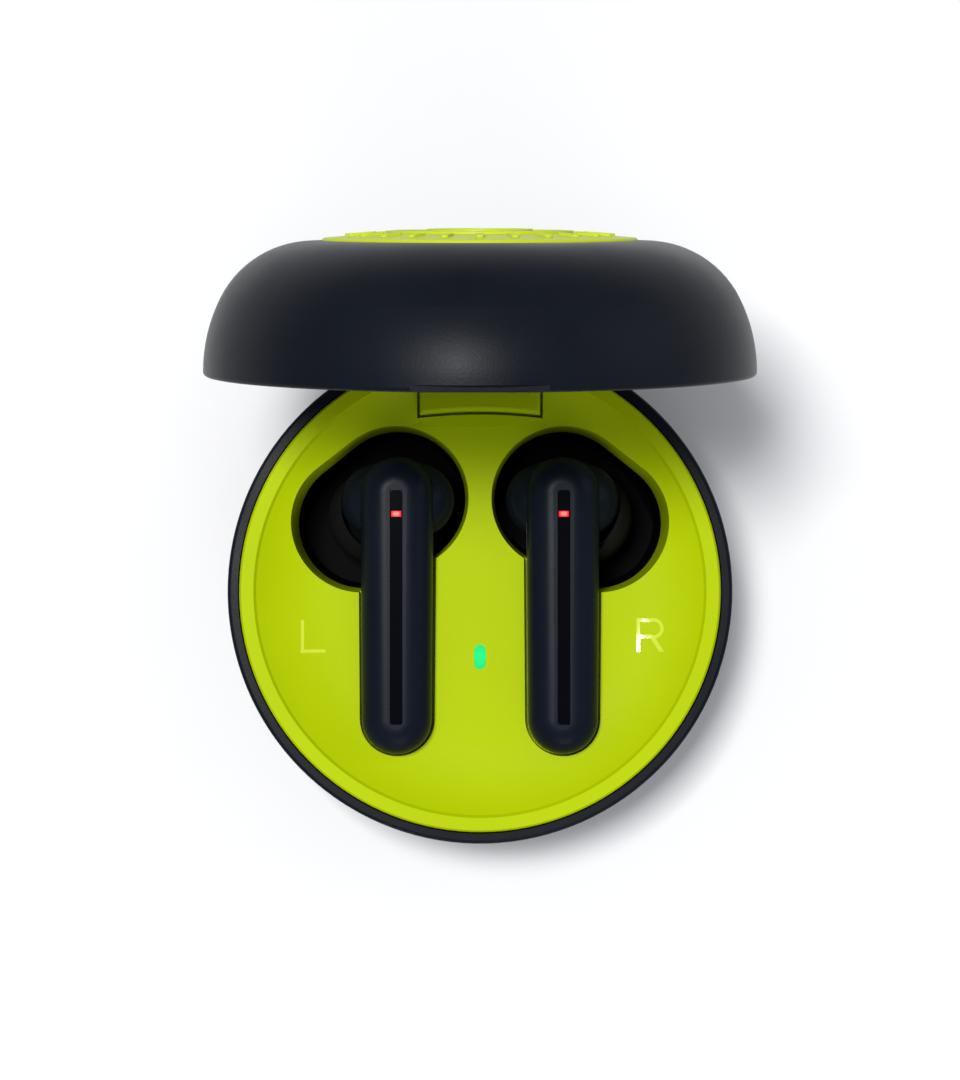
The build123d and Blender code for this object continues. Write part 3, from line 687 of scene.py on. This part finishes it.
tongue_low, tongue_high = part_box("usb_tongue")
tongue_z = (tongue_low[2] + tongue_high[2]) / 2
pads = []
for row in (-1, 1):
    for step in range(PADS):
        deselect_all()
        x = (step - (PADS - 1) / 2) * PAD_PITCH
        y = tongue_high[1] - PAD_SETBACK - PAD_SIZE[1] / 2
        z = tongue_z + row * (TONGUE_HALF + PAD_PROUD)
        bpy.ops.mesh.primitive_cube_add(size=1, location=(x, y, z), scale=PAD_SIZE)
        bpy.ops.object.transform_apply(location=True, rotation=True, scale=True)
        ease = bpy.context.object.modifiers.new("ease", "BEVEL")
        ease.width = PAD_EDGE
        ease.segments = 2
        bpy.ops.object.modifier_apply(modifier=ease.name)
        pads.append(bpy.context.object)
deselect_all()
for pad in pads:
    pad.select_set(True)
bpy.context.view_layer.objects.active = pads[0]
bpy.ops.object.join()
contacts = settle("port_contacts")
contacts.data.materials.append(gold)
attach(contacts, "base")
print(contacts.name, "faces", len(contacts.data.polygons))

# %% [markdown]
# ## Woven mesh in the nozzles
# The sound comes out through a disc of woven steel wire. A grid cut down to a disc gives the
# weave's spacing, and the wireframe modifier turns its edges into wires.

# %% Model the nozzle meshes
WEAVE_R = 1.66 * MM
WEAVE_CELLS = 20
WIRE_THICKNESS = 0.07 * MM
NOZZLE_TILT = radians(35.6)
LEFT_HEADING = 215.2
NOZZLE_HEADING = {"left": radians(LEFT_HEADING), "right": radians(180 - LEFT_HEADING)}


def nozzle_weave(side):
    """A disc of wire mesh, set square across the nozzle."""
    deselect_all()
    bpy.ops.mesh.primitive_grid_add(
        x_subdivisions=WEAVE_CELLS,
        y_subdivisions=WEAVE_CELLS,
        size=2 * WEAVE_R,
    )
    disc = bpy.context.object
    bpy.ops.object.mode_set(mode="EDIT")
    bpy.ops.mesh.select_mode(type="VERT")
    bpy.ops.mesh.select_all(action="DESELECT")
    bpy.ops.object.mode_set(mode="OBJECT")
    for point in disc.data.vertices:
        point.select = point.co.length > WEAVE_R
    bpy.ops.object.mode_set(mode="EDIT")
    bpy.ops.mesh.delete(type="VERT")
    bpy.ops.object.mode_set(mode="OBJECT")
    wires = disc.modifiers.new("wires", "WIREFRAME")
    wires.thickness = WIRE_THICKNESS
    wires.use_even_offset = False
    bpy.ops.object.modifier_apply(modifier=wires.name)
    heading = NOZZLE_HEADING[side]
    disc.matrix_world = (
        Matrix.Translation(middle("nozzle_mesh_" + side))
        @ Matrix.Rotation(heading, 4, "Z")
        @ Matrix.Rotation(radians(180) - NOZZLE_TILT, 4, "Y")
    )
    piece = settle("nozzle_weave_" + side)
    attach(piece, "bud_" + side)
    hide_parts("nozzle_mesh_" + side)
    piece.data.materials.append(steel)
    return piece


for side in ("left", "right"):
    weave = nozzle_weave(side)
    print(weave.name, "faces", len(weave.data.polygons))

# %% [markdown]
# ## A pale studio floor
# The floor is plain, with only enough grain to keep it from looking like a flat card.

# %% Dress the floor
floor_skin = moulded(
    "pale_floor",
    colour=(0.82, 0.82, 0.83),
    rough=0.7,
    drift=0.02,
    spread=0.05,
    pit_scale=400.0,
    pit_depth=0.05,
)
floor.data.materials.append(floor_skin)
